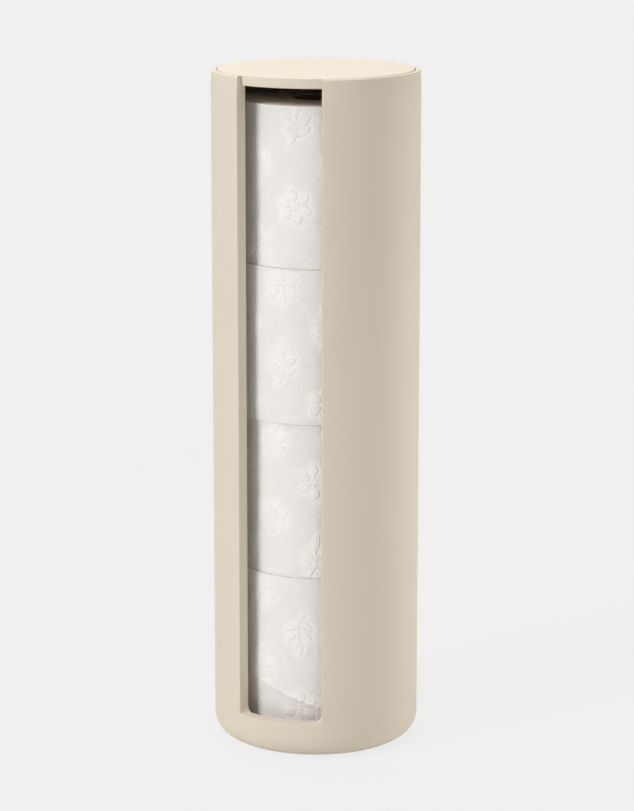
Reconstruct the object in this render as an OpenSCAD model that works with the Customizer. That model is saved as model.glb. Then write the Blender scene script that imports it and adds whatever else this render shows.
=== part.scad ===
// Toilet roll storage holder: a double-walled round tower with a hand slot, a flush lift-off lid
// and four stored rolls. Millimetres, +Z up, slot facing -Y, origin on the floor under the axis.

/* [Rolls] */
// Outside diameter of a full roll
roll_d = 108; // [90:1:120]
// Width of a roll, which is its height as it stands
roll_w = 100.6; // [85:0.2:115]
// Softness of the roll's outer edges, as a radius
roll_edge = 1; // [0.5:0.5:6]
// Outside diameter of the cardboard core
core_d = 39; // [30:0.5:50]
// Thickness of the cardboard core
core_t = 1; // [0.5:0.1:2]
// Depth at which the core's ends lie under the paper's ends
core_inset = 0.6; // [0:0.1:2]
// Fit between the core and the paper wound on it
core_gap = 0.1; // [0.05:0.05:0.5]
// Free height between two stacked rolls
stack_gap = 0.2; // [0.1:0.1:1]

/* [Wall] */
// Free width all round a centred roll
roll_room = 6; // [3:0.5:15]
// Thickness of the inner liner
liner_t = 3.3; // [2:0.1:5]
// Thickness of the outer shell
shell_t = 3.6; // [2:0.1:5]
// Fit between the liner and the shell
nest_gap = 0.1; // [0.05:0.05:0.4]
// Free height between the top roll and the lid
headroom = 12.8; // [6:0.2:40]

/* [Slot] */
// Angle that the slot takes out of the wall, in degrees
slot_angle = 50.8; // [30:0.2:80]
// Height of the slot's sill above the liner's floor
sill_h = 7.3; // [6:0.1:25]
// Radius of the slot's lower corners in the shell
corner_out = 2; // [1:0.5:5]
// Radius of the slot's lower corners in the liner
corner_in = 4.5; // [1:0.5:6]

/* [Rim] */
// Radius of the rim's outer edge
rim_round = 0.8; // [0.3:0.1:1.5]
// Height of the stretch that leans in under the rim
lean_h = 14; // [6:1:30]
// Radius of the curve along which it leans in
lean_r = 140; // [80:5:400]
// Chamfer on the inner edges of the shell and liner
edge_chamfer = 0.4; // [0.1:0.1:1]

/* [Lid] */
// Thickness of the lid at its edge
lid_t = 6; // [4:0.5:12]
// Free width between the lid and the rim
lid_gap = 0.5; // [0.3:0.1:1.5]
// Radius of the lid's edges
lid_round = 0.6; // [0.2:0.1:1.5]
// Width of the flat band under the lid's edge
lid_band = 9; // [6:0.5:20]
// Depth of the hollow under the lid
lid_hollow = 2.5; // [0.5:0.5:3]

/* [Base] */
// Radius of the rounded foot of the shell
base_round = 13.5; // [9:0.5:20]
// Thickness of the shell's floor
shell_floor_t = 4.5; // [4:0.5:8]
// Height of the hollow between the shell's floor and the liner's floor
underfloor_h = 9.2; // [5:0.1:15]
// Outer corner radius at the liner's floor
liner_round = 5; // [4:0.5:9]
// Diameter of the non-slip pad
pad_d = 92; // [80:1:96]
// Thickness of the non-slip pad
pad_t = 2; // [1.5:0.1:3]
// Part of the pad's thickness that stands out under the shell
pad_proud = 1; // [0.5:0.1:1.2]
// Fit round the pad
pad_gap = 0.3; // [0.1:0.1:1]
// Free height over the pad in its recess
pad_rise = 0.1; // [0.05:0.05:0.4]
// Radius of the ring that carries the liner's floor
rest_ring_r = 44; // [38:1:48]
// Width of that ring and of the ribs beside it
rest_rib_t = 2.4; // [1.5:0.1:4]

/* [Screws] */
// Radius of the circle that the three screws stand on
screw_circle_r = 32; // [22:1:36]
// Diameter of the screw's shank
screw_d = 3; // [2.5:0.1:4]
// Depth that the screw reaches into the liner's boss
screw_bite = 6.4; // [4:0.2:7]
// Diameter of the screw's head
screw_head_d = 6; // [5:0.1:8]
// Height of the screw's head
screw_head_h = 1.6; // [1:0.1:1.6]
// Diameter of the boss that the screw goes into
boss_d = 9; // [7:0.5:12]
// Fit round the screw's shank and head
screw_gap = 0.1; // [0.05:0.05:0.3]

/* [Hidden] */

$fn = 96;
roll_count = 4;
screw_count = 3;
rib_count = 6;
over = 1; // how far a cutter runs past the face that it cuts
sink = 0.5; // how far a rib or boss runs into what it stands on

// Radii, from the rolls outwards
roll_r = roll_d / 2;
liner_in_r = roll_r + roll_room;
liner_r = liner_in_r + liner_t;
shell_in_r = liner_r + nest_gap;
shell_r = shell_in_r + shell_t;
lid_r = shell_in_r - lid_gap;

// Heights, from the floor up
shell_z = pad_proud;
recess_h = pad_t - pad_proud;
shell_floor_z = shell_z + shell_floor_t;
liner_z = shell_floor_z + underfloor_h;
liner_floor_z = liner_z + liner_t;
roll_pitch = roll_w + stack_gap;
stack_z = liner_floor_z + roll_count * roll_pitch;
seat_z = stack_z + headroom;
body_h = seat_z + lid_t;
sill_z = liner_floor_z + sill_h;
screw_seat_z = shell_z + recess_h + screw_head_h + screw_gap;

// Where each roll leans in the room around it, bottom roll first, as a share of that room
roll_lean = [[0.30, 0.10], [0.52, 0.22], [0.40, 0.05], [0.50, 0.28]];

// Points of an arc round centre c, from angle a to angle b in degrees
function arc(c, r, a, b, steps) =
    [for (i = [0:steps]) c + r * [cos(a + (b - a) * i / steps), sin(a + (b - a) * i / steps)]];

// Where the shell's outside stands at height z in the stretch that leans in
function lean_x(z) = shell_r - lean_r + sqrt(pow(lean_r, 2) - pow(z - body_h + lean_h, 2));

// Outline of the shell, from the axis out along the underside and back along the inside
module shell_outline() {
    rim_z = body_h - rim_round;
    lean_steps = 6;
    polygon(concat(
        [[0, shell_z]],
        arc([shell_r - base_round, shell_z + base_round], base_round, -90, 0, 16),
        [for (i = [0:lean_steps])
            let (z = body_h - lean_h + (lean_h - rim_round) * i / lean_steps) [lean_x(z), z]],
        arc([lean_x(rim_z) - rim_round, rim_z], rim_round, 15, 90, 5),
        [[shell_in_r + edge_chamfer, body_h], [shell_in_r, body_h - edge_chamfer]],
        arc([shell_r - base_round, shell_floor_z + base_round - shell_t], base_round - shell_t, 0, -90, 12),
        [[0, shell_floor_z]]));
}

// Outline of the liner, which nests in the shell
module liner_outline() {
    inner_round = liner_round - liner_t;
    polygon(concat(
        [[0, liner_z]],
        arc([liner_r - liner_round, liner_z + liner_round], liner_round, -90, 0, 10),
        [[liner_r, seat_z], [liner_in_r + edge_chamfer, seat_z], [liner_in_r, seat_z - edge_chamfer]],
        arc([liner_in_r - inner_round, liner_floor_z + inner_round], inner_round, 0, -90, 6),
        [[0, liner_floor_z]]));
}

// Fills one lower corner of the slot, on the given side, to the given radius. The first and last
// stretch of the curve run on through the side and the sill, so that they cross them at an angle.
module corner_fill(side, radius, r1, r2) {
    steps = 6;
    tilt = 45 / steps;
    outline = concat(
        [[over, -over], [over, radius + over / tan(tilt)]],
        arc([-radius, radius], radius, -2 * tilt, 2 * tilt - 90, steps - 2),
        [[-radius - over / tan(tilt), -over]]);
    rotate([0, 0, side * slot_angle / 2])
        translate([0, -r1, sill_z])
            rotate([90, 0, 0])
                linear_extrude(height = r2 - r1)
                    polygon([for (p = outline) [side * p[0], p[1]]]);
}

// What the slot takes out of a wall: radial sides and a level sill, with rounded lower corners
module slot_cut(corner) {
    half = slot_angle / 2;
    inner = liner_in_r - 4 * over;
    reach = (shell_r + 2 * over) / cos(half);
    difference() {
        translate([0, 0, sill_z])
            linear_extrude(height = body_h - sill_z + over)
                polygon([inner * [-sin(half), -cos(half)], reach * [-sin(half), -cos(half)],
                         reach * [sin(half), -cos(half)], inner * [sin(half), -cos(half)]]);
        for (side = [-1, 1])
            corner_fill(side, corner, inner - over, reach + over);
    }
}

// Places children at each of the screws
module at_screws() {
    for (i = [0:screw_count - 1])
        rotate([0, 0, 90 + i * 360 / screw_count])
            translate([screw_circle_r, 0, 0])
                children();
}

// Ring and ribs on the shell's floor that carry the liner's floor
module rest_ribs() {
    rib_z = shell_floor_z - sink;
    rib_h = liner_z - rib_z;
    translate([0, 0, rib_z]) {
        difference() {
            cylinder(r = rest_ring_r + rest_rib_t, h = rib_h);
            translate([0, 0, -over])
                cylinder(r = rest_ring_r, h = rib_h + 2 * over);
        }
        for (i = [0:rib_count - 1])
            rotate([0, 0, i * 360 / rib_count])
                translate([rest_ring_r + rest_rib_t / 2, -rest_rib_t / 2, 0])
                    cube([shell_r - base_round - rest_ring_r, rest_rib_t, rib_h]);
    }
}

module outer_shell() {
    color([0.84, 0.79, 0.70])
        difference() {
            union() {
                rotate_extrude()
                    shell_outline();
                rest_ribs();
            }
            slot_cut(corner_out);
            translate([0, 0, shell_z - over])
                cylinder(d = pad_d + 2 * pad_gap, h = recess_h + over);
            at_screws() {
                translate([0, 0, shell_z])
                    cylinder(d = screw_head_d + 2 * screw_gap, h = screw_seat_z - shell_z);
                cylinder(d = screw_d + 2 * screw_gap, h = shell_floor_z + over);
            }
        }
}

module inner_liner() {
    pilot_h = screw_bite + sink;
    color([0.84, 0.79, 0.70])
        difference() {
            union() {
                rotate_extrude()
                    liner_outline();
                at_screws()
                    translate([0, 0, shell_floor_z])
                        cylinder(d = boss_d, h = underfloor_h + sink);
            }
            slot_cut(corner_in);
            at_screws()
                translate([0, 0, shell_floor_z - over])
                    cylinder(d = screw_d + 2 * screw_gap, h = pilot_h + over);
        }
}

module lid() {
    hollow_r = lid_r - lid_band;
    color([0.86, 0.81, 0.72])
        translate([0, 0, seat_z])
            difference() {
                rotate_extrude()
                    polygon(concat(
                        [[0, 0]],
                        arc([lid_r - lid_round, lid_round], lid_round, -90, 0, 5),
                        arc([lid_r - lid_round, lid_t - lid_round], lid_round, 0, 90, 5),
                        [[0, lid_t]]));
                translate([0, 0, -over])
                    cylinder(r = hollow_r, h = lid_hollow + over);
            }
}

module non_slip_pad() {
    color([0.32, 0.31, 0.30])
        cylinder(d = pad_d, h = pad_t - pad_rise);
}

module liner_screws() {
    shank_h = shell_floor_z - screw_seat_z + screw_bite;
    color([0.75, 0.75, 0.77])
        at_screws()
            translate([0, 0, screw_seat_z]) {
                translate([0, 0, -screw_head_h])
                    cylinder(d = screw_head_d, h = screw_head_h);
                translate([0, 0, -screw_head_h / 2])
                    cylinder(d = screw_d, h = shank_h + screw_head_h / 2);
            }
}

// Moves children to where the roll with this number stands, counted from the bottom
module at_roll(number) {
    translate([roll_lean[number - 1][0] * roll_room,
               roll_lean[number - 1][1] * roll_room,
               liner_floor_z + (number - 1) * roll_pitch])
        children();
}

module roll_paper(number) {
    bore_r = core_d / 2 + core_gap;
    color([0.95, 0.94, 0.93])
        at_roll(number)
            rotate_extrude()
                polygon(concat(
                    [[bore_r, 0]],
                    arc([roll_r - roll_edge, roll_edge], roll_edge, -90, 0, 6),
                    arc([roll_r - roll_edge, roll_w - roll_edge], roll_edge, 0, 90, 6),
                    [[bore_r, roll_w]]));
}

module roll_core(number) {
    foot = number == 1 ? 0 : core_inset;
    color([0.66, 0.55, 0.42])
        at_roll(number)
            translate([0, 0, foot])
                difference() {
                    cylinder(d = core_d, h = roll_w - core_inset - foot);
                    translate([0, 0, -over])
                        cylinder(d = core_d - 2 * core_t, h = roll_w + 2 * over);
                }
}

outer_shell();
inner_liner();
lid();
non_slip_pad();
liner_screws();
roll_paper(1);  // roll_1_paper
roll_core(1);  // roll_1_core
roll_paper(2);  // roll_2_paper
roll_core(2);  // roll_2_core
roll_paper(3);  // roll_3_paper
roll_core(3);  // roll_3_core
roll_paper(4);  // roll_4_paper
roll_core(4);  // roll_4_core
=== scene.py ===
import math

import bmesh
import bpy
import numpy as np
from mathutils import Matrix, Vector


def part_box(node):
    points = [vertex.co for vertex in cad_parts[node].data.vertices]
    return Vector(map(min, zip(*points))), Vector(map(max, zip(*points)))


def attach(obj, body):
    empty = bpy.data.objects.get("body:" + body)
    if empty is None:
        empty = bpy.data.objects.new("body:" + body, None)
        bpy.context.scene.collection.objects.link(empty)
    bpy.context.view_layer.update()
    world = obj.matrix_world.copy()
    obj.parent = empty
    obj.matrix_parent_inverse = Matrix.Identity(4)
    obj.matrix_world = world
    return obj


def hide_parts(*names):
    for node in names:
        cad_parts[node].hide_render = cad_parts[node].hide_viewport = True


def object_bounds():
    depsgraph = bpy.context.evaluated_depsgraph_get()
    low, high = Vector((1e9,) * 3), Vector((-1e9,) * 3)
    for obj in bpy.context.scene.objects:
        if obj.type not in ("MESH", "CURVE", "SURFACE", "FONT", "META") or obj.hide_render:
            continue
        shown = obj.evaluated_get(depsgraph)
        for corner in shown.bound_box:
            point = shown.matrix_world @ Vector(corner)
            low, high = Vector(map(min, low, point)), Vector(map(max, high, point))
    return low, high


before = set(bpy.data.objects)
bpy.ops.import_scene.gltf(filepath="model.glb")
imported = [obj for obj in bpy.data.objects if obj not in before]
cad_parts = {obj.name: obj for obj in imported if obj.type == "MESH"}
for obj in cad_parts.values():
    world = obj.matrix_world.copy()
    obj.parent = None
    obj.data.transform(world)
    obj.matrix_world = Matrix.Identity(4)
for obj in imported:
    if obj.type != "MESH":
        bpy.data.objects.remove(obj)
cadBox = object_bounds()
mm = 0.001
print("frame loaded:", ", ".join(sorted(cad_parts)))


# Places that the pieces share, read from the frame
def boxOf(node):
    low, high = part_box(node)
    return Vector(low), Vector(high)


shellLow, shellHigh = boxOf("outer_shell")
linerLow, linerHigh = boxOf("inner_liner")
lidLow, lidHigh = boxOf("lid")
padLow, padHigh = boxOf("non_slip_pad")
shellRadius = (shellHigh.x - shellLow.x) / 2
linerRadius = (linerHigh.x - linerLow.x) / 2
lidRadius = (lidHigh.x - lidLow.x) / 2
padRadius = (padHigh.x - padLow.x) / 2
seatHeight = linerHigh.z


# Camera, at the photograph's height, distance and angle
camera = {
    "azimuth": 22.0,  # degrees to the right of the slot
    "distance": 1.8571,  # from the tower's axis, level
    "height": 0.6353,
    "pitch": 12.615,  # degrees down
    "roll": 0.015,
    "lens": 129.66,
    "shift": (0.00118, 0.0020),
}


def makeCamera(spec):
    data = bpy.data.cameras.new("camera")
    data.sensor_width = 36
    data.lens = spec["lens"]
    data.shift_x, data.shift_y = spec["shift"]
    data.clip_end = 50
    made = bpy.data.objects.new("camera", data)
    bpy.context.scene.collection.objects.link(made)
    turn = math.radians(spec["azimuth"])
    place = Vector((math.sin(turn), -math.cos(turn), 0)) * spec["distance"]
    place.z = spec["height"]
    made.matrix_world = (
        Matrix.Translation(place)
        @ Matrix.Rotation(turn, 4, "Z")
        @ Matrix.Rotation(math.pi / 2 - math.radians(spec["pitch"]), 4, "X")
        @ Matrix.Rotation(math.radians(spec["roll"]), 4, "Z")
    )
    bpy.context.scene.camera = made


makeCamera(camera)


# Shader maths: a Signal is a socket that Python's operators work on, a Graph is one node tree
class Signal:
    def __init__(self, graph, socket):
        self.graph = graph
        self.socket = socket

    def math(self, operation, *values):
        sockets = dict(enumerate(values))
        return self.graph.node("Math", {"operation": operation}, sockets)

    def __add__(self, other):
        return self.math("ADD", self, other)

    def __radd__(self, other):
        return self.math("ADD", other, self)

    def __sub__(self, other):
        return self.math("SUBTRACT", self, other)

    def __rsub__(self, other):
        return self.math("SUBTRACT", other, self)

    def __mul__(self, other):
        return self.math("MULTIPLY", self, other)

    def __rmul__(self, other):
        return self.math("MULTIPLY", other, self)

    def sine(self):
        return self.math("SINE", self)

    def orElse(self, other):
        return self.math("MAXIMUM", self, other)

    def between(self, low, high):
        sockets = {"Value": self, "From Min": low, "From Max": high}
        return self.graph.node("MapRange", {"interpolation_type": "SMOOTHSTEP"}, sockets)


class Graph:
    def __init__(self, tree):
        self.tree = tree
        self.tree.nodes.clear()

    def node(self, kind, settings=None, sockets=None, out=0):
        made = self.tree.nodes.new("ShaderNode" + kind)
        for key, value in (settings or {}).items():
            setattr(made, key, value)
        for key, value in (sockets or {}).items():
            if isinstance(value, Signal):
                self.tree.links.new(value.socket, made.inputs[key])
            else:
                made.inputs[key].default_value = value
        return Signal(self, made.outputs[out]) if made.outputs else None

    def place(self):  # the point on the piece, in metres, as three numbers
        split = self.node("SeparateXYZ", None, {0: self.node("TexCoord", out=3)})
        return [Signal(self, split.socket.node.outputs[i]) for i in range(3)]

    def unrolled(self):  # metres along the winding, and up the roll
        split = self.node("SeparateXYZ", None, {0: self.node("UVMap", {"uv_map": "around"})})
        return [Signal(self, split.socket.node.outputs[i]) for i in range(2)]

    def share(self, name):  # a number that the piece carries at each point
        return self.node("Attribute", {"attribute_name": name}, out=2)

    def noise(self, scale, detail):
        sockets = {"Vector": self.node("TexCoord", out=3), "Scale": scale, "Detail": detail}
        return self.node("TexNoise", None, sockets)

    def blend(self, share, first, second):
        sockets = {"Factor": share, 6: first, 7: second}
        return self.node("Mix", {"data_type": "RGBA"}, sockets, out=2)

    def bump(self, height, depth, strength=1.0, normal=None):
        sockets = {"Height": height, "Distance": depth, "Strength": strength}
        if normal:
            sockets["Normal"] = normal
        return self.node("Bump", None, sockets)

    def finish(self, shader):
        self.node("OutputMaterial", None, {"Surface": shader})


def newMaterial(name):
    made = bpy.data.materials.new(name)
    made.use_nodes = True
    return made, Graph(made.node_tree)


def rgba(colour, share=1.0):
    return tuple(c * share for c in colour) + (1.0,)


# Matte sand plastic with a fine moulded grain
sandPlastic = {
    "colour": (0.756, 0.672, 0.548),
    "roughness": 0.62,
    "roughnessSpread": 0.08,
    "cloudsPerMetre": 14.0,
    "cloudShare": 0.015,  # how much the colour strays in soft clouds
    "grainPerMetre": 2600.0,
    "grainDepth": 0.03 * mm,
    "grainStrength": 0.5,
    "ior": 1.46,
}


def makePlastic(name, spec):
    material, graph = newMaterial(name)
    cloudy = graph.noise(spec["cloudsPerMetre"], 3.0)
    grain = graph.noise(spec["grainPerMetre"], 3.0)
    darker = rgba(spec["colour"], 1 - spec["cloudShare"])
    lighter = rgba(spec["colour"], 1 + spec["cloudShare"])
    sockets = {
        "Base Color": graph.blend(cloudy, darker, lighter),
        "Roughness": spec["roughness"] + (grain - 0.5) * spec["roughnessSpread"],
        "Normal": graph.bump(grain, spec["grainDepth"], spec["grainStrength"]),
        "IOR": spec["ior"],
    }
    graph.finish(graph.node("BsdfPrincipled", None, sockets))
    return material


# Soft white tissue: a fine net of pressed diamonds, outlined motifs and tear lines
tissue = {
    "colour": (0.97, 0.944, 0.923),
    "endShadeColour": (0.93, 0.87, 0.80),  # painted shade: darker and warmer, on the wound ends and their edges, standing in for the shade and warm bounce light in the seams between rolls
    "roughness": 0.92,
    "sheen": 0.15,
    "gloss": 0.2,
    "cloudsPerMetre": 60.0,
    "cloudShare": 0.015,
    "netPitch": 2.2 * mm,
    "netDepth": 0.16 * mm,
    "netPaintedShade": 0.94,  # painted shade: the colour in the net's valleys, as a share of the plain colour
    "netValley": (-0.2, -0.9),
    "netFade": (-0.8, -3.9),  # the net ends over this stretch beside a motif, in millimetres
    "lineWidth": 0.85,  # half width of the motifs' outlines, in millimetres
    "lineDepth": 0.29 * mm,
    "innerLine": 1.9,  # the second, fainter outline lies this far inside, in millimetres
    "innerShare": 0.5,
    "fibrePerMetre": 1500.0,
    "fibreDepth": 0.05 * mm,
    "fibreStrength": 0.6,
    "sheet": 120 * mm,  # from one tear line to the next
    "firstTear": 30 * mm,
    "tearWidth": 0.45 * mm,
    "tearDepth": 6.0,  # times the net's depth
    "holePitch": 2.4 * mm,
    "holeEdge": (-0.2, 0.3),
    "ply": 0.55 * mm,  # one turn of the sheet, seen on the roll's ends
    "plyDepth": 0.05 * mm,
}


def makeTissue(name, spec):
    material, graph = newMaterial(name)
    along, up = graph.unrolled()
    wave = 2 * math.pi / spec["netPitch"]
    net = ((along + up) * wave).sine().orElse(((along - up) * wave).sine())
    inside = graph.share("inside")  # millimetres inside a motif
    side = graph.share("side")
    net = net * side * inside.between(*spec["netFade"])
    outer = inside.math("ABSOLUTE", inside).between(spec["lineWidth"], 0.0)
    within = inside - spec["innerLine"]
    inner = within.math("ABSOLUTE", within).between(spec["lineWidth"], 0.0)
    line = outer.orElse(inner * spec["innerShare"]) * side
    holes = (up * (2 * math.pi / spec["holePitch"])).sine().between(*spec["holeEdge"])
    sheet = (along + (spec["sheet"] - spec["firstTear"])) * (1 / spec["sheet"])
    tear = sheet.math("FRACT", sheet).math("PINGPONG", sheet.math("FRACT", sheet), 0.5)
    torn = (1 - tear.between(0.0, spec["tearWidth"] / spec["sheet"])) * holes
    layers = (graph.share("winding") * (2 * math.pi / spec["ply"])).sine()
    fibres = graph.noise(spec["fibrePerMetre"], 4.0)
    cloudy = graph.noise(spec["cloudsPerMetre"], 3.0)
    darker = rgba(spec["colour"], 1 - spec["cloudShare"])
    colour = graph.blend(cloudy, darker, rgba(spec["colour"]))
    # painted shade: the net's valleys are darkened toward black
    valleyShade = net.between(*spec["netValley"]) * (1 - spec["netPaintedShade"])
    colour = graph.blend(valleyShade, colour, (0, 0, 0, 1))
    # painted shade: the ends and their rounded edges take the darker, warmer end colour
    colour = graph.blend(side, rgba(spec["endShadeColour"]), colour)
    pressed = graph.bump(net - torn * spec["tearDepth"], spec["netDepth"])
    pressed = graph.bump(line, spec["lineDepth"], 1.0, pressed)
    pressed = graph.bump(layers, spec["plyDepth"], 1.0, pressed)
    sockets = {
        "Base Color": colour,
        "Roughness": spec["roughness"],
        "Normal": graph.bump(fibres, spec["fibreDepth"], spec["fibreStrength"], pressed),
        "Specular IOR Level": spec["gloss"],
        "Sheen Weight": spec["sheen"],
    }
    graph.finish(graph.node("BsdfPrincipled", None, sockets))
    return material


# Brown core board
board = {
    "colour": (0.40, 0.29, 0.18),
    "markShare": 0.7,  # of the colour, in the flecks and the spiral joint
    "roughness": 0.85,
    "fibrePerMetre": 900.0,
    "fibreDepth": 0.06 * mm,
    "fibreStrength": 0.6,
    "flecksPerMetre": 240.0,
    "fleckEdge": (0.55, 0.72),
    "fleckShare": 0.5,
    "strip": 46 * mm,  # width of the spiral strip
    "slope": 0.8,
    "jointWidth": 0.02,  # share of the strip
}


def makeBoard(name, spec):
    material, graph = newMaterial(name)
    fibres = graph.noise(spec["fibrePerMetre"], 5.0)
    flecks = graph.noise(spec["flecksPerMetre"], 2.0).between(*spec["fleckEdge"])
    along, up = graph.unrolled()
    strip = (up + along * spec["slope"]) * (1 / spec["strip"])
    joint = strip.math("FRACT", strip).between(spec["jointWidth"], 0.0)
    mark = (flecks * spec["fleckShare"]).orElse(joint)
    marked = rgba(spec["colour"], spec["markShare"])
    sockets = {
        "Base Color": graph.blend(mark, rgba(spec["colour"]), marked),
        "Roughness": spec["roughness"],
        "Normal": graph.bump(fibres - joint, spec["fibreDepth"], spec["fibreStrength"]),
    }
    graph.finish(graph.node("BsdfPrincipled", None, sockets))
    return material


# Dark matte rubber
rubber = {
    "dark": (0.075, 0.070, 0.066),
    "light": (0.095, 0.090, 0.085),
    "roughness": 0.8,
    "roughnessSpread": 0.2,
    "grainPerMetre": 1400.0,
    "grainDepth": 0.08 * mm,
    "grainStrength": 0.7,
}


def makeRubber(name, spec):
    material, graph = newMaterial(name)
    grain = graph.noise(spec["grainPerMetre"], 3.0)
    sockets = {
        "Base Color": graph.blend(grain, rgba(spec["dark"]), rgba(spec["light"])),
        "Roughness": spec["roughness"] + (grain - 0.5) * spec["roughnessSpread"],
        "Normal": graph.bump(grain, spec["grainDepth"], spec["grainStrength"]),
    }
    graph.finish(graph.node("BsdfPrincipled", None, sockets))
    return material


# Zinc-plated steel
steel = {
    "dark": (0.52, 0.52, 0.54),
    "light": (0.60, 0.60, 0.62),
    "roughness": 0.3,
    "roughnessSpread": 0.2,
    "grainPerMetre": 1800.0,
}


def makeSteel(name, spec):
    material, graph = newMaterial(name)
    brushed = graph.noise(spec["grainPerMetre"], 2.0)
    sockets = {
        "Base Color": graph.blend(brushed, rgba(spec["dark"]), rgba(spec["light"])),
        "Roughness": spec["roughness"] + brushed * spec["roughnessSpread"],
        "Metallic": 1.0,
    }
    graph.finish(graph.node("BsdfPrincipled", None, sockets))
    return material


bodyFinish = makePlastic("sandPlastic", sandPlastic)
lidFinish = makePlastic("sandPlasticLid", sandPlastic)
paperFinish = makeTissue("whiteTissue", tissue)
boardFinish = makeBoard("coreBoard", board)
rubberFinish = makeRubber("padRubber", rubber)
steelFinish = makeSteel("screwSteel", steel)
print("materials made")


# Modelling helpers
nearest = 1e-6  # points nearer to each other than this are one
onAxis = 1e-9
sharpAngle = 35  # degrees


def deselectAll():
    if bpy.context.object and bpy.context.object.mode != "OBJECT":
        bpy.ops.object.mode_set(mode="OBJECT")
    bpy.ops.object.select_all(action="DESELECT")


def addRing(name, count, fill="NOTHING", radius=0.05):
    # a ring of points, which mostly are moved into an outline after it
    deselectAll()
    bpy.ops.mesh.primitive_circle_add(vertices=count, radius=radius, fill_type=fill)
    made = bpy.context.object
    made.name = name
    made.data.name = name
    return made


def openEdit(piece, mode="VERT"):
    deselectAll()
    piece.select_set(True)
    bpy.context.view_layer.objects.active = piece
    bpy.ops.object.mode_set(mode="EDIT")
    bpy.ops.mesh.select_mode(type=mode)


def closeEdit():
    bpy.ops.object.mode_set(mode="OBJECT")


def arc(centre, radius, start, end, steps):  # points of an arc, angles in degrees
    turns = [math.radians(start + (end - start) * i / steps) for i in range(steps + 1)]
    return [(centre[0] + radius * math.cos(t), centre[1] + radius * math.sin(t)) for t in turns]


def dropTwins(points):  # an outline without points that repeat
    kept = [points[0]]
    for point in points[1:]:
        if math.dist(point, kept[-1]) > nearest:
            kept.append(point)
    return kept


def lathe(name, outline, steps, centre=(0.0, 0.0)):
    # spins an outline of (radius, height) points about an upright axis; an outline that starts
    # and ends on the axis is left open there
    outline = dropTwins(outline)
    piece = addRing(name, len(outline))
    for vertex, (radius, height) in zip(piece.data.vertices, outline):
        vertex.co = (centre[0], centre[1] - radius, height)
    openEdit(piece, "EDGE")
    if outline[0][0] < onAxis and outline[-1][0] < onAxis:
        bpy.ops.mesh.select_all(action="DESELECT")
        mesh = bmesh.from_edit_mesh(piece.data)
        for edge in mesh.edges:
            edge.select = all((v.co.xy - Vector(centre)).length < onAxis for v in edge.verts)
        bmesh.update_edit_mesh(piece.data)
        bpy.ops.mesh.delete(type="EDGE")
    bpy.ops.mesh.select_all(action="SELECT")
    bpy.ops.mesh.spin(
        steps=steps, angle=2 * math.pi, center=(centre[0], centre[1], 0), axis=(0, 0, 1)
    )
    bpy.ops.mesh.select_all(action="SELECT")
    bpy.ops.mesh.remove_doubles(threshold=nearest)
    bpy.ops.mesh.normals_make_consistent(inside=False)
    closeEdit()
    return piece


def useModifier(piece, kind, **settings):
    change = piece.modifiers.new(kind.lower(), kind)
    for key, value in settings.items():
        setattr(change, key, value)
    deselectAll()
    piece.select_set(True)
    bpy.context.view_layer.objects.active = piece
    bpy.ops.object.modifier_apply(modifier=change.name)


def combine(piece, tool, operation):
    useModifier(piece, "BOOLEAN", operation=operation, solver="EXACT", object=tool)
    bpy.data.objects.remove(tool)


def bevelWhere(piece, test, width, segments=4):
    # rounds the sharp edges whose middle passes the test
    openEdit(piece, "EDGE")
    bpy.ops.mesh.select_all(action="DESELECT")
    mesh = bmesh.from_edit_mesh(piece.data)
    for edge in mesh.edges:
        sharp = len(edge.link_faces) == 2 and edge.calc_face_angle() > math.radians(sharpAngle)
        middle = (edge.verts[0].co + edge.verts[1].co) / 2
        edge.select = sharp and test(middle)
    count = sum(edge.select for edge in mesh.edges)
    bmesh.update_edit_mesh(piece.data)
    bpy.ops.mesh.bevel(offset=width, segments=segments, affect="EDGES", clamp_overlap=True)
    closeEdit()
    print(piece.name, "edges rounded:", count)


def smooth(piece, angle=32):
    deselectAll()
    piece.select_set(True)
    bpy.context.view_layer.objects.active = piece
    bpy.ops.object.shade_smooth_by_angle(angle=math.radians(angle))


def dress(piece, material, body, slot, *nodes):
    piece.data.materials.clear()
    piece.data.materials.append(material)
    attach(piece, body)
    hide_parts(*nodes)


def level(point):  # distance from the tower's axis
    return math.hypot(point.x, point.y)


# Slot, cut through shell and liner by one shape
slot = {
    "halfAngle": 25.4,  # degrees
    "sill": 25.3 * mm,
    "cornerOut": 1.2 * mm,  # corner radius at the wall's outside
    "cornerIn": 4.8 * mm,  # and at its inside
    "cornerSteps": 10,
    "edgeOut": 0.5 * mm,  # rounding of its edges
    "edgeIn": 0.7 * mm,
    "nearAngle": 0.6,  # edges this near to its outline, in degrees, are its own
    "nearSill": 0.3 * mm,
    "smallestCorner": 0.5 * mm,
    "over": (9 * mm, 12 * mm, 10 * mm),  # how far its cutter reaches inwards, outwards and up
}
wall = {"steps": 256, "shell": 3.6 * mm, "liner": 3.3 * mm, "bevel": 0.4 * mm}
linerInside = linerRadius - wall["liner"]
shellInside = shellRadius - wall["shell"]


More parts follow.
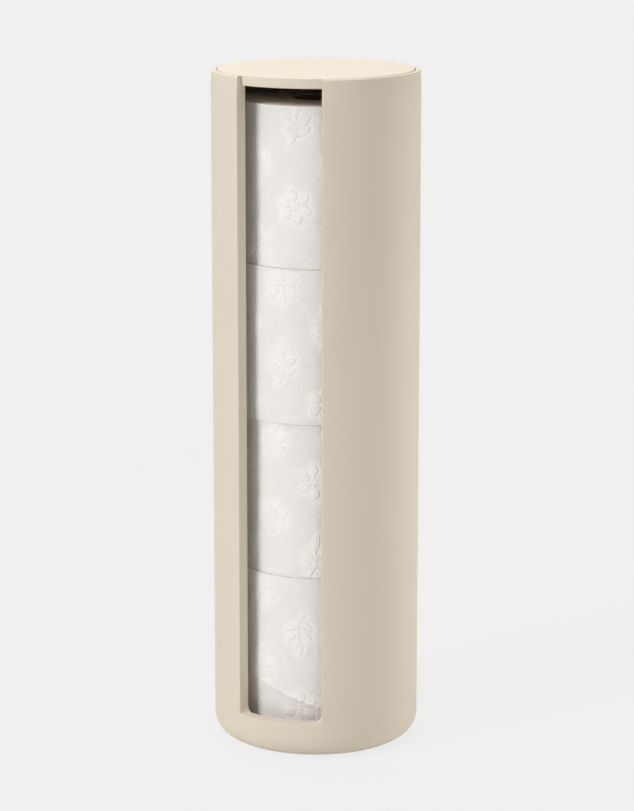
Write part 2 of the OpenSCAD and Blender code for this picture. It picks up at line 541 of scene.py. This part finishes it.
def makeSlotCutter(name):
    # lofts three U outlines along Y, so that the sides point at the axis and the corners
    # grow inwards
    spread = math.tan(math.radians(slot["halfAngle"]))
    lean = math.cos(math.radians(slot["halfAngle"]))
    yOut = shellRadius * lean
    yIn = linerInside * lean
    growth = (slot["cornerIn"] - slot["cornerOut"]) / (yOut - yIn)
    steps = slot["cornerSteps"]
    overIn, overOut, overTop = slot["over"]
    top = shellHigh.z + overTop
    smallest = slot["smallestCorner"]
    turning = yOut + (slot["cornerOut"] - smallest) / growth  # where the corner stops shrinking

    def outline(y):
        half = y * spread
        radius = max(smallest, slot["cornerOut"] + growth * (yOut - y))
        low = slot["sill"]
        right = arc((half - radius, low + radius), radius, 0, -90, steps)
        left = arc((radius - half, low + radius), radius, -90, -180, steps)
        return [(half, top)] + right + left + [(-half, top)]

    rings = [(y, outline(y)) for y in (yIn - overIn, turning, shellRadius + overOut)]
    cutter = addRing(name, len(rings[0][1]), "NGON")
    openEdit(cutter)
    for index, (y, points) in enumerate(rings):
        if index:
            bpy.ops.mesh.extrude_region_move()
        mesh = bmesh.from_edit_mesh(cutter.data)
        mesh.verts.ensure_lookup_table()
        ring = mesh.verts[-len(points):] if index else mesh.verts[:]
        for vertex, (x, z) in zip(ring, points):
            vertex.co = (x, -y, z)
        bmesh.update_edit_mesh(cutter.data)
    bpy.ops.mesh.select_all(action="SELECT")
    bpy.ops.mesh.normals_make_consistent(inside=False)
    closeEdit()
    return cutter


def inSlot(point):  # near the slot's outline, seen from the axis
    turn = math.degrees(math.atan2(point.x, -point.y))
    beside = abs(turn) < slot["halfAngle"] + slot["nearAngle"]
    return beside and point.z > slot["sill"] - slot["nearSill"]


# Outer shell: rounded foot, upright wall that leans in a little under the rim
shell = {
    "footRadius": 13.5 * mm,
    "floor": 4.5 * mm,
    "recess": 1.0 * mm,
    "padGap": 0.3 * mm,
    "rimRound": 0.8 * mm,
    "leanHeight": 14 * mm,
    "leanRadius": 140 * mm,
    "leanRows": 8,
    "wallRows": (60 * mm, 150 * mm, 240 * mm, 330 * mm),
    "linerJoint": (50 * mm, 60 * mm),  # the inside meets the liner between these heights
    "edgeDepth": 2.0 * mm,  # the slot's outer edges lie within this of the outside
}


def leanRadiusAt(height):  # outside radius in the stretch that leans in
    rise = height - shellHigh.z + shell["leanHeight"]
    bow = shell["leanRadius"]
    return shellRadius - bow + math.sqrt(bow ** 2 - rise ** 2)


def makeShell():
    low, high = shellLow.z, shellHigh.z
    foot = shell["footRadius"]
    bed = low + shell["floor"]
    inner = foot - wall["shell"]
    rimZ = high - shell["rimRound"]
    reach = padRadius + shell["padGap"]
    rows = shell["leanRows"]
    rises = [high - shell["leanHeight"] * (1 - i / rows) for i in range(rows)]
    jointLow, jointHigh = shell["linerJoint"]
    outline = (
        [(0, low + shell["recess"]), (reach, low + shell["recess"]), (reach, low)]
        + arc((shellRadius - foot, low + foot), foot, -90, 0, 20)
        + [(shellRadius, z) for z in shell["wallRows"]]
        + [(leanRadiusAt(z), z) for z in rises]
        + arc((leanRadiusAt(rimZ) - shell["rimRound"], rimZ), shell["rimRound"], 10, 90, 6)
        + [(shellInside + wall["bevel"], high), (shellInside, high - wall["bevel"])]
        + [(shellInside, seatHeight), (linerRadius, seatHeight)]
        + [(linerRadius, jointHigh), (shellInside, jointLow)]
        + arc((shellRadius - foot, bed + inner), inner, 0, -90, 12)
        + [(0, bed)]
    )
    piece = lathe("tower_shell", outline, wall["steps"])
    combine(piece, makeSlotCutter("cutter"), "DIFFERENCE")
    outerEdge = shellRadius - shell["edgeDepth"]
    bevelWhere(piece, lambda p: inSlot(p) and level(p) > outerEdge, slot["edgeOut"])
    smooth(piece)
    dress(piece, bodyFinish, "holder", "body_plastic", "outer_shell")


# Inner liner: its upper edge is the ledge that carries the lid
liner = {"footRadius": 5 * mm, "edgeDepth": 1.0 * mm}


def makeLiner():
    low, high = linerLow.z, linerHigh.z
    foot = liner["footRadius"]
    bed = low + wall["liner"]
    inner = foot - wall["liner"]
    outline = (
        [(0, low)]
        + arc((linerRadius - foot, low + foot), foot, -90, 0, 10)
        + [(linerRadius, high), (linerInside + wall["bevel"], high)]
        + [(linerInside, high - wall["bevel"])]
        + arc((linerInside - inner, bed + inner), inner, 0, -90, 6)
        + [(0, bed)]
    )
    piece = lathe("tower_liner", outline, wall["steps"])
    combine(piece, makeSlotCutter("cutter"), "DIFFERENCE")
    innerEdge = linerInside + liner["edgeDepth"]
    bevelWhere(piece, lambda p: inSlot(p) and level(p) < innerEdge, slot["edgeIn"])
    smooth(piece)
    dress(piece, bodyFinish, "holder", "body_plastic", "inner_liner")


# Lid: flat, with softly rounded edges and a shallow hollow underneath
lid = {
    "proud": 0.3 * mm,  # how far its top stands over the rim
    "round": 0.35 * mm,
    "band": 9 * mm,
    "hollow": 2.5 * mm,
    "fillet": 1.2 * mm,
    "rings": (0.8, 0.4),  # rings across its top, as shares of its radius
}


def makeLid():
    low, high = lidLow.z, lidHigh.z + lid["proud"]
    edge = lid["round"]
    inside = lidRadius - lid["band"]
    roof = low + lid["hollow"]
    fillet = lid["fillet"]
    outline = (
        [(0, roof), (inside - fillet, roof)]
        + arc((inside - fillet, roof - fillet), fillet, 90, 0, 6)
        + arc((inside + edge, low + edge), edge, 180, 270, 5)
        + arc((lidRadius - edge, low + edge), edge, -90, 0, 6)
        + arc((lidRadius - edge, high - edge), edge, 0, 90, 6)
        + [(lidRadius * share, high) for share in lid["rings"]]
        + [(0, high)]
    )
    piece = lathe("lid_disc", outline, wall["steps"])
    smooth(piece)
    dress(piece, lidFinish, "lid", "lid_plastic", "lid")


# Non-slip pad with a rounded lower edge
pad = {"round": 0.5 * mm, "steps": 128}


def makePad():
    low, high = padLow.z, padHigh.z
    edge = pad["round"]
    outline = (
        [(0, low)]
        + arc((padRadius - edge, low + edge), edge, -90, 0, 4)
        + [(padRadius, high), (0, high)]
    )
    piece = lathe("foot_pad", outline, pad["steps"])
    smooth(piece)
    dress(piece, rubberFinish, "holder", "pad_rubber", "non_slip_pad")


makeShell()
makeLiner()
makeLid()
makePad()
print("tower made")


# Toilet rolls: wound tissue with pressed sprigs and blossoms
roll = {
    "steps": 528,
    "sideRows": 156,
    "endRows": 10,
    "edge": 0.35 * mm,
    "underShift": (0, 0, 0, -0.9 * mm),  # how far each roll's ends lie off their places,
    "topShift": (0.1 * mm, 0.1 * mm, -0.8 * mm, 1.0 * mm),  # bottom roll first
    "underRelief": 0.5 * mm,  # the plain roll lies this far under its CAD size
    "relief": 0.30 * mm,  # height to which the petals and leaves swell
    "swell": 1.1,  # over this many millimetres from their outlines
    "columns": 12,
    "rows": 2,
    "firstRow": 0.27,
    "motifSize": 1.7,
    "motifReach": 10.0,  # millimetres from a motif's middle, at size 1
    "motifMargin": 4.0,
    "motifTilt": 14,
    "creases": 9,
    "creaseTilt": 38,
    "creaseLength": (9, 22),
    "creaseBend": 4,
    "creaseWidth": 1.5,  # in millimetres, as the outlines are
    "creaseDepth": 0.16 * mm,
    "creaseMargin": 5,
    "creaseUp": (0.02, 0.95),  # shares of the roll's height
    "creaseHeights": (-1.0, 0.9),
    "ripple": 0.125 * mm,
    "rippleSeed": 40,
    "dimple": 0.05 * mm,
    "dimpleSeed": 140,
    "tail": 0.18 * mm,  # step where the loose end of the sheet lies
    "tailAt": (155, 162, 149, 166),  # degrees round each roll, bottom roll first
    "turnEach": 0.9,  # radians from one roll's pattern to the next one's
    "endFade": 1.6 * mm,  # the relief fades out this near to the ends
    "endWave": 0.06 * mm,  # unevenness of the wound ends
    "endWaveSeed": 70,
    "endWavePace": 2.1,  # radians for each millimetre outwards
    "endWaveStart": 0.5 * mm,  # from the bore
    "endWaveFade": 3 * mm,
}


def curvePoints(start, bend, end, steps=10):  # points of a quadratic curve
    t = np.linspace(0, 1, steps + 1)[:, None]
    start, bend, end = (np.array(p, float) for p in (start, bend, end))
    return (1 - t) ** 2 * start + 2 * t * (1 - t) * bend + t ** 2 * end


def leafOutline(root, direction, length, width):
    # a closed leaf or petal from its root to its tip and back, in millimetres
    turn = math.radians(direction)
    along = np.array((math.cos(turn), math.sin(turn)))
    across = np.array((-along[1], along[0]))
    tip = np.array(root) + along * length
    middle = np.array(root) + along * length * 0.45
    out = curvePoints(root, middle + across * width, tip)
    back = curvePoints(tip, middle - across * width, root)
    return np.concatenate((out, back[1:]))


def sprigOutlines():
    # a slim bent stem with five leaves
    out = curvePoints((-1.9, -7.5), (1.6, -2.0), (-0.2, 3.0))
    back = curvePoints((0.3, 3.0), (2.4, -2.4), (-1.0, -7.7))
    shapes = [np.concatenate((out, back, out[:1]))]
    shapes.append(leafOutline((0.0, 3.6), 88, 5.5, 2.6))
    for height, tilt in ((-3.6, 32), (-0.2, 38)):
        shapes.append(leafOutline((1.0, height), tilt, 5.6, 2.3))
        shapes.append(leafOutline((0.0, height - 0.8), 180 - tilt, 5.6, 2.3))
    return shapes


def blossomOutlines():
    # six petals about a small disc
    shapes = []
    for petal in range(6):
        turn = 30 + 60 * petal
        root = (1.9 * math.cos(math.radians(turn)), 1.9 * math.sin(math.radians(turn)))
        shapes.append(leafOutline(root, turn, 4.8, 3.3))
    ring = np.linspace(0, 2 * math.pi, 13)
    shapes.append(np.stack((1.2 * np.cos(ring), 1.2 * np.sin(ring)), axis=1))
    return shapes


def distanceTo(points, stroke):
    # least distance from each point to a stroke's segments
    a, b = stroke[:-1], stroke[1:]
    span = b - a
    offset = points[:, None, :] - a[None]
    share = np.clip((offset * span).sum(-1) / (span ** 2).sum(-1), 0, 1)
    return np.linalg.norm(offset - share[..., None] * span, axis=-1).min(1)


def depthInside(points, shape):
    # distance to a closed outline, positive inside it
    a, b = shape[:-1], shape[1:]
    x, y = points[:, :1], points[:, 1:]
    crosses = (a[:, 1] > y) != (b[:, 1] > y)
    rise = np.where(b[:, 1] == a[:, 1], 1.0, b[:, 1] - a[:, 1])
    meets = a[:, 0] + (y - a[:, 1]) * (b[:, 0] - a[:, 0]) / rise
    inside = (crosses & (x < meets)).sum(1) % 2 == 1
    return np.where(inside, 1, -1) * distanceTo(points, shape)


def pressedPattern(along, up, around, tall, seed):
    # how far each point of the unrolled sheet lies inside a motif, and the height of its creases
    depth = np.full_like(along, -roll["motifMargin"])
    creases = np.zeros_like(along)
    chance = np.random.default_rng(seed)
    shapes = (sprigOutlines(), blossomOutlines())
    pitch = around / roll["columns"]
    size = roll["motifSize"]
    for column in range(roll["columns"]):
        for row in range(roll["rows"]):
            drop = 0.5 * (column % 2)
            middleUp = (row + roll["firstRow"] + drop) * tall / roll["rows"]
            tilt = chance.uniform(-roll["motifTilt"], roll["motifTilt"])
            tilt = math.radians(tilt + (180 if (row + column) % 3 == 0 else 0))
            x = (along - column * pitch + around / 2) % around - around / 2
            y = up - middleUp
            near = np.hypot(x, y) < (roll["motifReach"] * size + roll["motifMargin"]) * mm
            if not near.any():
                continue
            spun = np.stack((
                x[near] * math.cos(tilt) + y[near] * math.sin(tilt),
                y[near] * math.cos(tilt) - x[near] * math.sin(tilt),
            ), axis=1) / (size * mm)
            found = [depthInside(spun, shape) for shape in shapes[(row + column // 2) % 2]]
            depth[near] = np.maximum(depth[near], np.max(found, axis=0) * size)
    for _ in range(roll["creases"]):
        tilt = math.radians(chance.uniform(-roll["creaseTilt"], roll["creaseTilt"]))
        length = chance.uniform(*roll["creaseLength"])
        tip = (length * math.cos(tilt), length * math.sin(tilt))
        aside = chance.uniform(-roll["creaseBend"], roll["creaseBend"])
        bend = (tip[0] / 2, tip[1] / 2 + aside)
        stroke = curvePoints((0, 0), bend, tip)
        x = (along - chance.uniform(0, around) + around / 2) % around - around / 2
        y = up - chance.uniform(*roll["creaseUp"]) * tall
        near = np.hypot(x, y) < (length + roll["creaseMargin"]) * mm
        least = distanceTo(np.stack((x[near], y[near]), axis=1) / mm, stroke)
        height = chance.choice(roll["creaseHeights"])
        creases[near] += height * np.exp(-(least / roll["creaseWidth"]) ** 2)
    return depth, creases


def softNoise(a, b, seed, count=7, quick=1.0, fine=1):
    # a smooth uneven surface from a few crossed waves; a is an angle, b a length in metres
    chance = np.random.default_rng(seed)
    total = np.zeros_like(a)
    for _ in range(count):
        turns = chance.integers(1, 9) * fine
        pace = chance.uniform(-90, 90) * quick
        total += np.sin(turns * a + pace * b + chance.uniform(0, 6.28))
    return total / math.sqrt(count)


def paperSizes(number):
    low, high = boxOf("roll_%d_paper" % number)
    coreLow, coreHigh = boxOf("roll_%d_core" % number)
    radius = (high.x - low.x + high.y - low.y) / 4
    bore = (coreHigh.x - coreLow.x) / 2 + core["clearance"]
    flat = radius - roll["underRelief"]
    low.z += roll["underShift"][number - 1]
    high.z += roll["topShift"][number - 1]
    return low, high, bore, flat


def makePlainRoll():
    # the roll without its relief, modelled once, its underside at the origin
    low, high, bore, flat = paperSizes(1)
    edge = roll["edge"]
    tall = high.z - low.z
    sides = [edge + (tall - 2 * edge) * i / roll["sideRows"] for i in range(1, roll["sideRows"])]
    ends = [bore + (flat - edge - bore) * i / roll["endRows"] for i in range(1, roll["endRows"])]
    outline = (
        [(bore, 0)]
        + [(r, 0) for r in ends]
        + arc((flat - edge, edge), edge, -90, 0, 4)
        + [(flat, z) for z in sides]
        + arc((flat - edge, tall - edge), edge, 0, 90, 4)
        + [(r, tall) for r in reversed(ends)]
        + [(bore, tall)]
    )
    outline = dropTwins(outline)
    piece = addRing("plain_roll", len(outline))
    for vertex, (radius, height) in zip(piece.data.vertices, outline):
        vertex.co = (0, -radius, height)
    steps = roll["steps"]
    useModifier(piece, "SCREW", steps=steps, render_steps=steps, use_merge_vertices=True)
    openEdit(piece)
    bpy.ops.mesh.select_all(action="SELECT")
    bpy.ops.mesh.remove_doubles(threshold=nearest)
    bpy.ops.mesh.normals_make_consistent(inside=False)
    closeEdit()
    return piece


# The bottom roll's outer turn sags inwards under a slanting fold
fold = {
    "number": 1,
    "middle": 4,  # degrees round the roll
    "reach": 48,  # degrees to each side
    "up": 20 * mm,
    "slope": -0.32 * mm,  # for each degree
    "depth": 1.5 * mm,
    "bow": 0.6,  # exponent of the sag
    "ridge": 0.55 * mm,
    "ridgeWidth": 1.6 * mm,
}


def sagAt(number, turn, up):
    if number != fold["number"]:
        return 0.0
    degrees = np.degrees(turn) - fold["middle"]
    crest = fold["up"] + fold["slope"] * degrees
    share = np.clip((crest - up) / np.maximum(crest, mm), 0, 1)
    ends = np.clip(1 - (degrees / fold["reach"]) ** 2, 0, 1)
    ridge = np.exp(-((up - crest) / fold["ridgeWidth"]) ** 2) * fold["ridge"]
    return (share ** fold["bow"] * fold["depth"] - ridge) * ends


def makeRollPaper(number, plain):
    node = "roll_%d_paper" % number
    low, high, bore, flat = paperSizes(number)
    centre = ((low.x + high.x) / 2, (low.y + high.y) / 2)
    edge = roll["edge"]
    tall = high.z - low.z
    plainLow, plainHigh, _, _ = paperSizes(1)
    stretch = tall / (plainHigh.z - plainLow.z)
    piece = plain.copy()
    piece.data = plain.data.copy()
    piece.name = node + "_roll"
    piece.data.name = piece.name
    bpy.context.scene.collection.objects.link(piece)
    mesh = piece.data
    shift = Matrix.Translation((centre[0], centre[1], low.z))
    mesh.transform(shift @ Matrix.Diagonal((1, 1, stretch, 1)))
    places = np.empty(len(mesh.vertices) * 3)
    mesh.vertices.foreach_get("co", places)
    places = places.reshape(-1, 3)
    x, y, z = places[:, 0] - centre[0], places[:, 1] - centre[1], places[:, 2]
    distance = np.hypot(x, y)
    turn = np.arctan2(x, -y)
    around = 2 * math.pi * flat
    along = (turn + number * roll["turnEach"]) % (2 * math.pi) * flat
    tail = math.radians(roll["tailAt"][number - 1])
    wound = (turn - tail) % (2 * math.pi) / (2 * math.pi)
    up = z - low.z
    onSide = np.clip((distance - (flat - edge)) / edge, 0, 1)
    inside, creases = pressedPattern(along, up, around, tall, number)
    swelling = np.clip(inside / roll["swell"], 0, 1)
    uneven = softNoise(turn, z, roll["rippleSeed"] + number) * roll["ripple"]
    dimples = softNoise(turn, z, roll["dimpleSeed"] + number, 14, 5.0, 5) * roll["dimple"]
    lift = swelling * (2 - swelling) * roll["relief"] + creases * roll["creaseDepth"]
    lift += uneven + dimples - sagAt(number, turn, up)
    lift *= onSide * np.clip(np.minimum(up, tall - up) / roll["endFade"], 0, 1)
    lift -= onSide * roll["tail"] * wound
    rings = np.sin(distance / mm * roll["endWavePace"] + number)
    rings += softNoise(turn, distance, roll["endWaveSeed"] + number, 5, 9.0)
    onEnd = np.clip((flat - distance) / roll["endWaveFade"], 0, 1)
    onEnd *= distance > bore + roll["endWaveStart"]
    sink = (rings - 2.0) * roll["endWave"] * onEnd
    atEnd = np.where(up > tall / 2, 1.0, -1.0)
    share = (distance + lift) / np.maximum(distance, 1e-9)
    places[:, 0] = centre[0] + x * share
    places[:, 1] = centre[1] + y * share
    places[:, 2] = np.clip(z + sink * atEnd, low.z, high.z)
    mesh.vertices.foreach_set("co", places.ravel())
    mesh.update()
    writeAround(piece, centre, flat, low.z, tail)
    writeShare(mesh, "inside", inside)
    writeShare(mesh, "side", onSide)
    writeShare(mesh, "winding", distance)
    smooth(piece, 60)
    dress(piece, paperFinish, "roll_%d" % number, "tissue_paper", node)


def writeShare(mesh, name, values):  # one number at each point, for the material
    layer = mesh.attributes.new(name, "FLOAT", "POINT")
    layer.data.foreach_set("value", np.asarray(values, dtype=np.float32))


def writeAround(piece, centre, radius, floor, start=0.0):
    # a UV map in metres: along the winding and up the roll
    mesh = piece.data
    layer = mesh.uv_layers.new(name="around")
    corners = np.empty(len(mesh.loops), dtype=np.int64)
    mesh.loops.foreach_get("vertex_index", corners)
    places = np.empty(len(mesh.vertices) * 3)
    mesh.vertices.foreach_get("co", places)
    places = places.reshape(-1, 3)
    turn = np.arctan2(places[:, 0] - centre[0], -(places[:, 1] - centre[1])) - start
    turn %= 2 * math.pi
    starts = np.empty(len(mesh.polygons), dtype=np.int64)
    counts = np.empty(len(mesh.polygons), dtype=np.int64)
    mesh.polygons.foreach_get("loop_start", starts)
    mesh.polygons.foreach_get("loop_total", counts)
    turns = turn[corners]
    first = np.repeat(turns[starts], counts)
    turns = np.where(turns - first > math.pi, turns - 2 * math.pi, turns)
    turns = np.where(turns - first < -math.pi, turns + 2 * math.pi, turns)
    uv = np.stack((turns * radius, places[corners, 2] - floor), axis=1)
    layer.data.foreach_set("uv", uv.ravel())


# Core tubes
core = {
    "steps": 96,
    "wall": 1.0 * mm,
    "round": 0.2 * mm,
    "clearance": 0.1 * mm,  # to the paper
    "turnEach": 0.8,
}


def makeRollCore(number):
    node = "roll_%d_core" % number
    low, high = boxOf(node)
    low.z += roll["underShift"][number - 1]
    high.z += roll["topShift"][number - 1]
    centre = ((low.x + high.x) / 2, (low.y + high.y) / 2)
    radius = (high.x - low.x) / 2
    inside = radius - core["wall"]
    edge = core["round"]
    outline = (
        arc((radius - edge, low.z + edge), edge, -90, 0, 3)
        + arc((radius - edge, high.z - edge), edge, 0, 90, 3)
        + arc((inside + edge, high.z - edge), edge, 90, 180, 3)
        + arc((inside + edge, low.z + edge), edge, 180, 270, 3)
    )
    piece = lathe(node + "_tube", outline, core["steps"], centre)
    writeAround(piece, centre, radius, low.z, core["turnEach"] * number)
    smooth(piece)
    dress(piece, boardFinish, "roll_%d" % number, "core_board", node)


plainRoll = makePlainRoll()
for number in (1, 2, 3, 4):
    makeRollPaper(number, plainRoll)
    makeRollCore(number)
    print("roll", number, "made")
bpy.data.objects.remove(plainRoll)

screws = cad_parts["liner_screws"]
screws.data.materials.clear()
screws.data.materials.append(steelFinish)


# Stage: pale floor, soft lamps and a pale room
stage = {
    "grey": 0.871,  # the backdrop as the camera sees it
    "floorRadius": 14.0,
    "floorSteps": 96,
    "floorColour": 0.9,  # the floor as light meets it
    "shadowShare": 0.08,  # of the real shadow, shown to the camera near the tower
    "shadowReach": (0.35, 1.2),  # it fades out between these distances
    "roomLight": 0.02,
    "warm": (1.0, 0.98, 0.94),  # colour of the lamps on the right
}
# direction and distance from the tower's middle, in degrees and metres, then size and power
lamps = {
    "key": (-31, 30, 6.0, (1.75, 1.48), 201.5),
    "right": (78, -5.7, 1.2, (0.56, 0.2), 1.75),
    "rightBack": (128, -5.7, 1.2, (0.56, 0.2), 3.95),
    "top": (10, 85, 2.4, (2.2, 2.2), 40.5),
    "topBack": (200, 60, 2.4, (2.0, 2.0), 14.0),
}
rayKinds = ("Is Camera Ray", "Is Glossy Ray", "Is Transmission Ray")


def makeLamp(name, spec, aim):
    azimuth, elevation, distance, size, power = spec
    data = bpy.data.lights.new(name, "AREA")
    data.shape = "RECTANGLE"
    data.size, data.size_y = size
    data.energy = power
    if name.startswith("right"):
        data.color = stage["warm"]
    made = bpy.data.objects.new(name, data)
    bpy.context.scene.collection.objects.link(made)
    turn = math.radians(azimuth)
    rise = math.radians(elevation)
    away = Vector((
        math.sin(turn) * math.cos(rise),
        -math.cos(turn) * math.cos(rise),
        math.sin(rise),
    ))
    made.location = aim + away * distance
    made.rotation_euler = away.to_track_quat("Z", "Y").to_euler()


def makeFloor():
    floor = addRing("floor", stage["floorSteps"], "NGON", stage["floorRadius"])
    material, graph = newMaterial("floorPaint")
    seen, glossy, through = (graph.node("LightPath", out=name) for name in rayKinds)
    seen = seen.orElse(glossy).orElse(through)
    grey = stage["grey"]
    shade = stage["floorColour"]
    matte = graph.node("BsdfDiffuse", None, {"Color": (shade, shade, shade, 1)})
    glow = graph.node("Emission", None, {"Color": (grey, grey, grey, 1)})
    east, north, _ = graph.place()
    far = east.math("POWER", east, 2) + north.math("POWER", north, 2)
    near, wide = (reach ** 2 for reach in stage["shadowReach"])
    share = seen * (1 - stage["shadowShare"] * (1 - far.between(near, wide)))
    graph.finish(graph.node("MixShader", None, {0: share, 1: matte, 2: glow}))
    floor.data.materials.append(material)


def makeRoom():
    world = bpy.data.worlds.new("room")
    world.use_nodes = True
    bpy.context.scene.world = world
    graph = Graph(world.node_tree)
    seen, glossy, through = (graph.node("LightPath", out=name) for name in rayKinds)
    seen = seen.orElse(glossy).orElse(through)
    grey = stage["grey"]
    plain = graph.node("Background", None, {"Color": (1, 1, 1, 1), "Strength": stage["roomLight"]})
    back = graph.node("Background", None, {"Color": (grey, grey, grey, 1), "Strength": 1.0})
    mixed = graph.node("MixShader", None, {0: seen, 1: plain, 2: back})
    graph.node("OutputWorld", None, {"Surface": mixed})


makeFloor()
makeRoom()
middle = Vector((0, 0, (cadBox[0][2] + cadBox[1][2]) / 2))
for name, spec in lamps.items():
    makeLamp(name, spec, middle)
bpy.context.scene.view_settings.view_transform = "Standard"
print("stage made")
